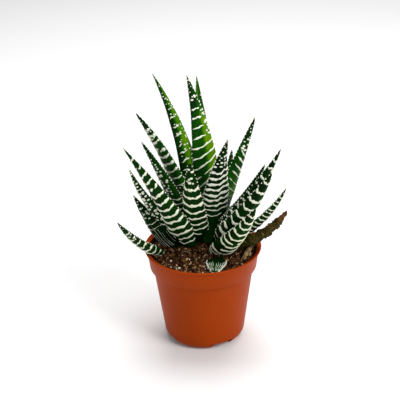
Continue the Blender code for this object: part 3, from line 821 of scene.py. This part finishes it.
def make_leaves():
    """Skins and marks; returns a search tree with its box for each leaf."""
    usual = (leaf_material(), "leaf_skin")
    others = {"leaf_dead_right": (dead_material(), "dead_leaf"), "dry_strip": (dry_material(), "dry_leaf")}
    grids, trees = {}, {}
    for number, (name, leaf) in enumerate(LEAVES.items()):
        random = np.random.default_rng(SEED + number)
        grid, t = leaf_grid(leaf, random)
        if name == "leaf_dead_right":
            grid = shrivel(grid, t, random)
        grid = press(grid, trees.values())
        tip = RINGS * SIDES
        points = np.vstack([grid.reshape(-1, 3), spine(leaf)[0][-1]])
        faces = grid_faces(RINGS, SIDES)
        faces += [[tip - SIDES + k, tip - SIDES + (k + 1) % SIDES, tip] for k in range(SIDES)]
        faces.append(list(reversed(range(SIDES))))
        grids[name] = grid
        trees[name] = (BVHTree.FromPolygons(points.tolist(), faces), points.min(axis=0), points.max(axis=0))
        material, slot = others.get(name, usual)
        values = skin_values(USUAL | MARKS.get(name, {}), t)
        settle(mesh_object(f"{name}_skin", points, faces, material, True, values), slot, name)
    bands, warts = band_material(), wart_material()
    for number, name in enumerate(MARKS):
        random = np.random.default_rng(100 + SEED + number)
        around = [tree for other, tree in trees.items() if other != name]
        look = USUAL | MARKS[name]
        points, faces = mark_leaf(LEAVES[name], look, grids[name], random, around)
        if name == "leaf_dead_right":
            settle(mesh_object(f"{name}_warts", points, faces, warts), "dead_leaf")
        else:
            warm = {"warm": np.full(len(points), look["warm"])}
            settle(mesh_object(f"{name}_bands", points, faces, bands, True, warm), "leaf_band")
    return trees


def soil_top(x, y):
    """Height of the soil without its grain, as in the part's source."""
    r = np.hypot(x - CROWN[0], y - CROWN[1])
    rise = SOIL_MOUND * (1 - smooth_step(r / SOIL_SPREAD))
    ripple = 0.35 * np.sin(0.35 * x + 1.1) * np.cos(0.31 * y - 0.4)
    return SOIL_Z + rise + ripple - 0.012 * y - 0.02 * np.maximum(0.0, x)


def wall_at(z):
    """The pot's outer radius below the collar."""
    if z < BASE_ROUNDING:
        t = max(0.0, z) / BASE_ROUNDING
        return WALL_FOOT_RADIUS - BASE_ROUNDING * (1 - (1 - (1 - t) ** 2) ** 0.5)
    t = (z - BASE_ROUNDING) / (COLLAR_FOOT_Z - BASE_ROUNDING)
    return WALL_FOOT_RADIUS + (WALL_TOP_RADIUS - WALL_FOOT_RADIUS) * t


def turned_faces(rings, sides):
    """Faces of a turned body, its lowest point and its highest one after its rings."""
    count = rings * sides
    faces = grid_faces(rings, sides)
    faces += [[count, (k + 1) % sides, k] for k in range(sides)]
    return faces + [[count - sides + k, count - sides + (k + 1) % sides, count + 1] for k in range(sides)]


def lathe(profile, sides):
    """Points and faces of a profile of (radius, z) that starts and ends on the axis."""
    a = 2 * pi * np.arange(sides) / sides
    rings = [np.stack([r * np.cos(a), r * np.sin(a), np.full(sides, z)], -1) for r, z in profile[1:-1]]
    points = np.vstack([*rings, [(0, 0, profile[0][1]), (0, 0, profile[-1][1])]])
    return points, turned_faces(len(rings), sides)


def arc(radius, z, size, start, end):
    """Profile points round a centre at (radius, z), from one angle to another."""
    a = np.radians(np.linspace(start, end, 9))
    return [(float(r), float(h)) for r, h in zip(radius + size * np.cos(a), z + size * np.sin(a))]


def make_pot():
    rounding = [(wall_at(z), z) for z in BASE_ROUNDING * (1 - np.cos(np.linspace(0, pi / 2, 9)))]
    outside = rounding + [
        (wall_at(COLLAR_FOOT_Z), COLLAR_FOOT_Z + 0.2),
        (COLLAR_FOOT_RADIUS - 0.15, COLLAR_FOOT_Z),
        (COLLAR_FOOT_RADIUS, COLLAR_FOOT_Z + 0.2),
        (COLLAR_TOP_RADIUS, POT_HEIGHT - RIM_LIP - 0.4),
        *arc(RIM_RADIUS - RIM_LIP / 2, POT_HEIGHT - RIM_LIP / 2, RIM_LIP / 2, -90, 90),
    ]
    inside = [
        *arc(RIM_RADIUS - WALL + 0.25, POT_HEIGHT - 0.25, 0.25, 100, 180),
        (COLLAR_TOP_RADIUS - WALL, POT_HEIGHT - 0.9),
        (COLLAR_FOOT_RADIUS - WALL, COLLAR_FOOT_Z + 1.2),
        (WALL_TOP_RADIUS - WALL, COLLAR_FOOT_Z - 0.2),
        (wall_at(BASE_ROUNDING) - WALL, BASE_ROUNDING + 0.4),
        (wall_at(CORNER_Z) - CORNER_INSET, FLOOR),
    ]
    points, faces = lathe([(0, 0)] + outside + inside + [(0, FLOOR)], POT_SIDES)
    pot = mesh_object("pot_shell", points, faces, pot_material())
    for k in range(NOTCHES):
        a = radians(NOTCH_AZIMUTH + 360 * k / NOTCHES)
        bpy.ops.mesh.primitive_cube_add(size=MM)
        notch = bpy.context.active_object
        notch.name = f"notch_{k}"
        notch.scale = (NOTCH_OUTER - NOTCH_INNER, NOTCH_WIDTH, NOTCH_HEIGHT + 2)
        reach = (NOTCH_INNER + NOTCH_OUTER) / 2
        notch.location = (MM * reach * cos(a), MM * reach * sin(a), MM * (NOTCH_HEIGHT / 2 - 1))
        notch.rotation_euler = (0, 0, a)
        bpy.ops.mesh.primitive_cylinder_add(vertices=32, radius=MM * DRAIN_RADIUS, depth=MM * 12)
        drain = bpy.context.active_object
        drain.location = (MM * DRAIN_AT * cos(a), MM * DRAIN_AT * sin(a), 0)
        for cutter in (notch, drain):
            modifier = pot.modifiers.new("cut", "BOOLEAN")
            modifier.operation = "DIFFERENCE"
            modifier.object = cutter
            modifier.solver = "EXACT"
    bake(pot)
    pot.data.materials.append(stain_material())
    for face in pot.data.polygons:
        inward = face.normal.xy.dot(face.center.xy) < -0.3 * face.center.xy.length
        if inward and MM * COLLAR_FOOT_Z < face.center.z < MM * STAIN_TOP:
            face.material_index = 1
    pot.data.polygons.foreach_set("use_smooth", [True] * len(pot.data.polygons))
    pot.data.set_sharp_from_angle(angle=radians(35))
    settle(pot, "pot_plastic", "pot")


def bake(obj):
    """Applies the modifiers and removes the cutters that they used."""
    cutters = [m.object for m in obj.modifiers if m.type == "BOOLEAN"]
    bpy.context.view_layer.update()
    mesh = bpy.data.meshes.new_from_object(obj.evaluated_get(bpy.context.evaluated_depsgraph_get()))
    obj.modifiers.clear()
    obj.data = mesh
    for cutter in cutters:
        bpy.data.objects.remove(cutter)


def make_soil(trees):
    """The soil's body and the loose grains on it."""
    random = np.random.default_rng(SEED)
    radius = SOIL_RIM * (1 - np.arange(SOIL_RINGS)[:, None] / SOIL_RINGS)
    a = 2 * pi * np.arange(SOIL_SIDES) / SOIL_SIDES
    x, y = radius * np.cos(a), radius * np.sin(a)
    rough = random.normal(0, 0.16, x.shape)
    for scale, height in ((0.9, 0.30), (1.7, 0.2), (2.9, 0.12)):
        turn = random.random(4) * 2 * pi
        rough += height * np.sin(scale * x + turn[0]) * np.sin(scale * y + turn[1])
        rough += height * np.sin(scale * (x + y) * 0.8 + turn[2]) * np.sin(scale * (x - y) * 0.8 + turn[3])
    z = soil_top(x, y) + rough * np.minimum(1, radius / 3) - SOIL_SINK
    z[0] -= 0.4
    wall = [
        (wall_at(CORNER_Z) - CORNER_INSET - CLEAR - 0.4, FLOOR + CLEAR),
        (wall_at(BASE_ROUNDING) - WALL - CLEAR, BASE_ROUNDING + 0.9),
        (WALL_TOP_RADIUS - WALL - CLEAR - 0.1, COLLAR_FOOT_Z - 0.3),
        (SOIL_RIM, SOIL_Z - 3),
    ]
    points = [np.stack([r * np.cos(a), r * np.sin(a), np.full(SOIL_SIDES, h)], -1) for r, h in wall]
    ends = [(0, 0, FLOOR + CLEAR), (0, 0, soil_top(0, 0) - SOIL_SINK)]
    points = np.vstack([*points, np.stack([x, y, z], -1).reshape(-1, 3), ends])
    faces = turned_faces(len(wall) + SOIL_RINGS, SOIL_SIDES)
    settle(mesh_object("soil_body", points, faces, soil_material()), "potting_soil", "soil")
    for name, count, small, large, dark, pale, roundness, slot in GRAINS:
        points, faces, tones = scatter(count, small, large, random, trees, roundness)
        material = crumb_material(f"{name}_look", dark, pale)
        settle(mesh_object(name, points, faces, material, False, {"tone": tones}), slot)
    make_fibres(random)


def crumb_shape():
    """An icosahedron with each face split in four."""
    bpy.ops.mesh.primitive_ico_sphere_add(subdivisions=2, radius=1.0)
    obj = bpy.context.active_object
    points = np.array([v.co[:] for v in obj.data.vertices])
    faces = np.array([p.vertices[:] for p in obj.data.polygons])
    bpy.data.objects.remove(obj)
    return points, faces


def scatter(count, small, large, random, trees, roundness):
    """Irregular grains lying on the soil, none of them inside a leaf."""
    shape, shape_faces = crumb_shape()
    centres = []
    while len(centres) < count:
        r, a = SOIL_RIM * random.random(count) ** 0.5, 2 * pi * random.random(count)
        size = small + (large - small) * random.random(count) ** 2.5
        x, y = (r - size * 0.5) * np.cos(a), (r - size * 0.5) * np.sin(a)
        z = soil_top(x, y) + 0.25 * size + random.uniform(-0.3, 0.25, count)
        place = np.stack([x, y, z], -1)
        free = ~buried(place, list(trees.values()))
        centres += list(zip(place[free], size[free]))
    centres = centres[:count]
    points, faces, tones = [], [], []
    for number, (place, size) in enumerate(centres):
        angle = random.random() * 2 * pi
        turned = np.array(Matrix.Rotation(angle, 3, Vector(random.normal(size=3)).normalized()))
        lumps = shape * (roundness + (1 - roundness) * 2 * random.random((len(shape), 1)))
        lumps = (lumps * random.uniform(0.6, 1.1, 3)) @ turned.T * size / 2
        points.append(place + lumps)
        faces.append(shape_faces + number * len(shape))
        tones.append(np.full(len(shape), random.random()))
    return np.vstack(points), np.vstack(faces).tolist(), np.concatenate(tones)


def make_fibres(random):
    """Short bits of root and bark fibre lying on the soil."""
    points, faces, tones, count = [], [], [], 0
    for _ in range(FIBRES):
        r, a = SOIL_RIM * random.random() ** 0.5 * 0.95, 2 * pi * random.random()
        heading, bend = 2 * pi * random.random(), random.uniform(-0.5, 0.5)
        length = random.uniform(1.5, 4.5)
        x, y = r * cos(a), r * sin(a)
        radius = random.uniform(0.06, 0.16)
        step = length / (FIBRE_POINTS - 1)
        path = []
        for _ in range(FIBRE_POINTS):
            if x * x + y * y < (SOIL_RIM - 0.4) ** 2:
                path.append((x, y, float(soil_top(x, y)) + 0.1 + random.uniform(0.0, 0.25)))
            x, y, heading = x + step * cos(heading), y + step * sin(heading), heading + bend
        if len(path) < 3:
            continue
        points += tube(np.array(path), [radius] * len(path), FIBRE_SIDES)
        faces += tube_faces(len(path), FIBRE_SIDES, count)
        tones.append(np.full(len(path) * FIBRE_SIDES, random.random()))
        count += len(path) * FIBRE_SIDES
    material = crumb_material("soil_fibres_look", (0.05, 0.025, 0.012), (0.42, 0.27, 0.14))
    values = {"tone": np.concatenate(tones)}
    settle(mesh_object("soil_fibres", np.vstack(points), faces, material, True, values), "potting_soil")


def make_straws(random):
    """Thin dry straws at the right, beside the broader strip."""
    points, faces = [], []
    t = np.linspace(0, 1, STRAW_POINTS)[:, None]
    for k in range(STRAWS):
        start = STRAW_FOOT + k * STRAW_FOOT_STEP + random.uniform(-0.4, 0.4, 3) * (1, 1, 0.3)
        end = STRAW_HEAD + k * STRAW_HEAD_STEP + random.uniform(-0.5, 0.5, 3)
        path = start * (1 - t) + end * t + STRAW_ARCH * np.sin(pi * t) * random.uniform(0.2, 1.0)
        radii = random.uniform(0.18, 0.34) * (1.1 - 0.5 * t[:, 0])
        points += tube(path, radii, STRAW_SIDES, STRAW_FLATNESS)
        faces += tube_faces(STRAW_POINTS, STRAW_SIDES, k * STRAW_POINTS * STRAW_SIDES)
    settle(mesh_object("straws", np.vstack(points), faces, dry_material()), "dry_leaf")


def dress_stem():
    """Gives the stem, which is carried over, a material of its own."""
    look = Look("stem_look")
    broad = look.noise(400, 4)
    look.surface(Base_Color=look.mix(broad, (0.04, 0.05, 0.015), (0.16, 0.14, 0.06)), Roughness=0.7)
    look.relief(broad, 0.6, 0.0004)
    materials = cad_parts["stem"].data.materials
    materials.clear()
    materials.append(look.material)


def make_stage():
    look = Look("floor_look")
    look.surface(Base_Color=(0.86, 0.86, 0.86), Roughness=0.9, Specular_IOR_Level=0.1)
    corners = [(x, y, -FLOOR_DROP) for x in (-FLOOR_REACH, FLOOR_REACH) for y in (-FLOOR_REACH, FLOOR_REACH)]
    mesh_object("floor", corners, [(0, 2, 3, 1)], look.material, False)
    world = bpy.data.worlds.new("studio")
    world.use_nodes = True
    background = world.node_tree.nodes["Background"]
    background.inputs["Color"].default_value = (1, 1, 1, 1)
    background.inputs["Strength"].default_value = WORLD_LIGHT
    bpy.context.scene.world = world
    bpy.context.scene.view_settings.view_transform = "Standard"
    for name, (place, size, power) in LAMPS.items():
        data = bpy.data.lights.new(name, "AREA")
        data.size = size
        data.energy = power
        lamp = bpy.data.objects.new(name, data)
        lamp.location = place
        lamp.rotation_euler = (Vector(LAMP_AIM) - Vector(place)).to_track_quat("-Z", "Y").to_euler()
        bpy.context.scene.collection.objects.link(lamp)


def make_camera():
    elevation, roll = radians(CAMERA_ELEVATION), radians(CAMERA_ROLL)
    ahead = Vector((0, cos(elevation), -sin(elevation)))
    right = Vector((1, 0, 0))
    up = right.cross(ahead)
    across = cos(roll) * right + sin(roll) * up
    upward = cos(roll) * up - sin(roll) * right
    place = (Vector(CAMERA_LOOK_AT) - CAMERA_DISTANCE * ahead) * MM
    data = bpy.data.cameras.new("camera")
    data.sensor_width = SENSOR
    data.lens = SENSOR * FOCAL_PIXELS / FRAME_PIXELS
    data.clip_start = 0.01
    camera = bpy.data.objects.new("camera", data)
    camera.matrix_world = Matrix.Translation(place) @ Matrix((across, upward, -ahead)).transposed().to_4x4()
    bpy.context.scene.collection.objects.link(camera)
    bpy.context.scene.camera = camera


make_camera()
make_stage()
leaf_trees = make_leaves()
make_soil(leaf_trees)
make_straws(np.random.default_rng(SEED))
make_pot()
dress_stem()
